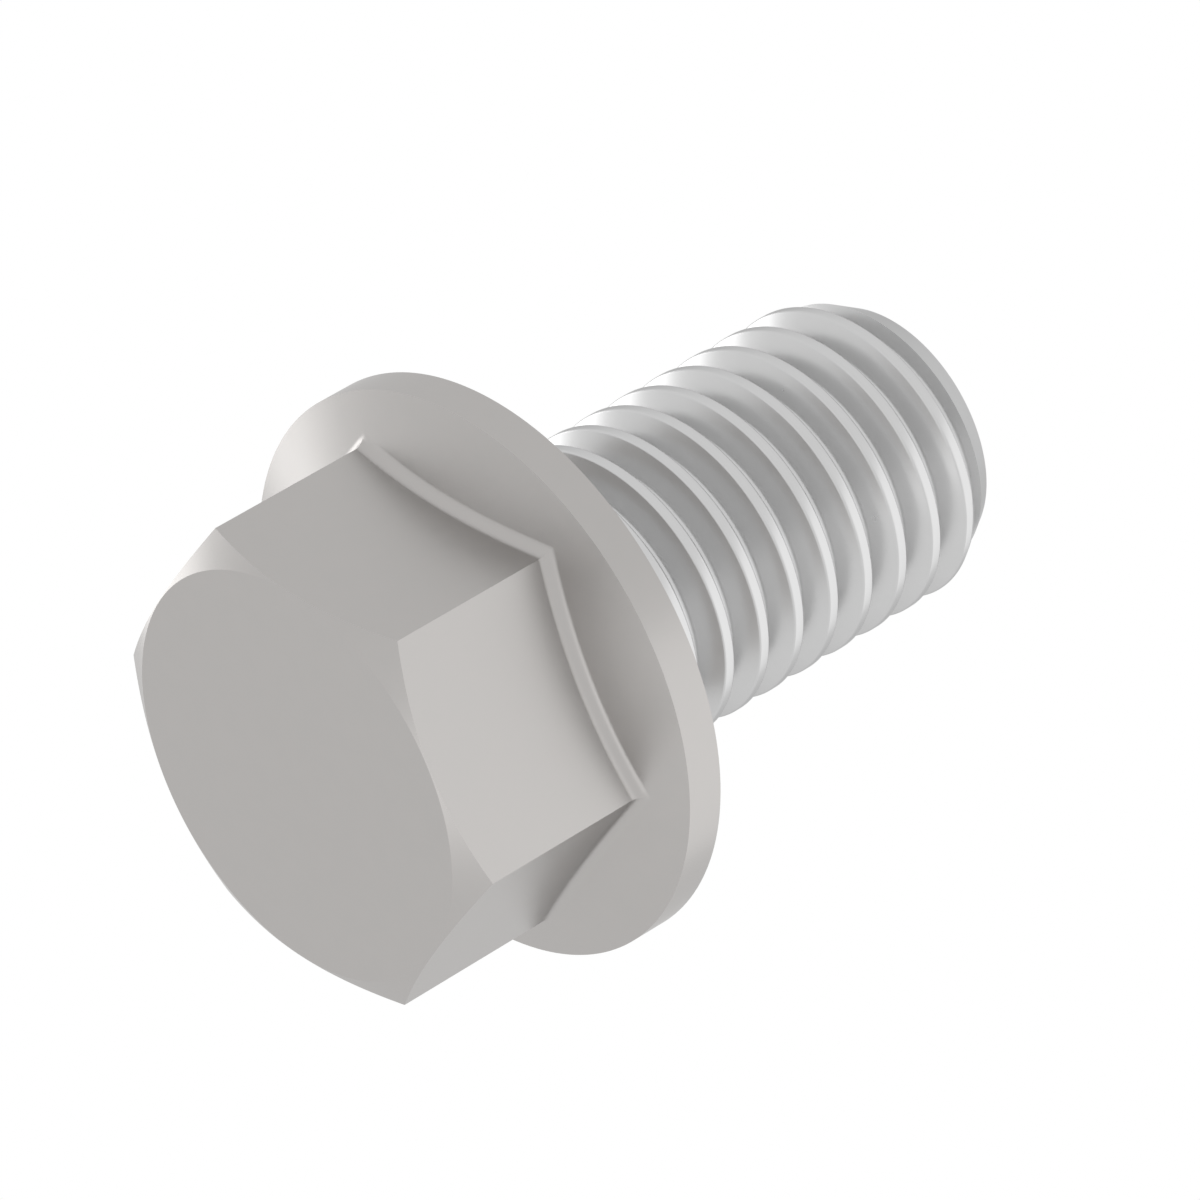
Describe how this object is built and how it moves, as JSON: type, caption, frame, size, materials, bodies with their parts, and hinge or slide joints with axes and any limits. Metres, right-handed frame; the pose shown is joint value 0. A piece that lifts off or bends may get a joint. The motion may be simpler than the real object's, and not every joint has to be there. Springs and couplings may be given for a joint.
{
  "type": "flange bolt",
  "caption": "Hexagon-head bolt with a round sloping flange under the head and a short, fully threaded shank with a chamfered point, in bare steel.",
  "frame": {"origin": "middle of the head's flat top face, which the bolt stands on", "axes": "+Z along the bolt's axis from the head's top face to the tip of the shank; two of the six flats face +X and -X"},
  "size_m": [0.022, 0.022, 0.0297],
  "materials": {
    "steel": "satin"
  },
  "bodies": {
    "root": {"flange_bolt": "steel"}
  },
  "joints": []
}
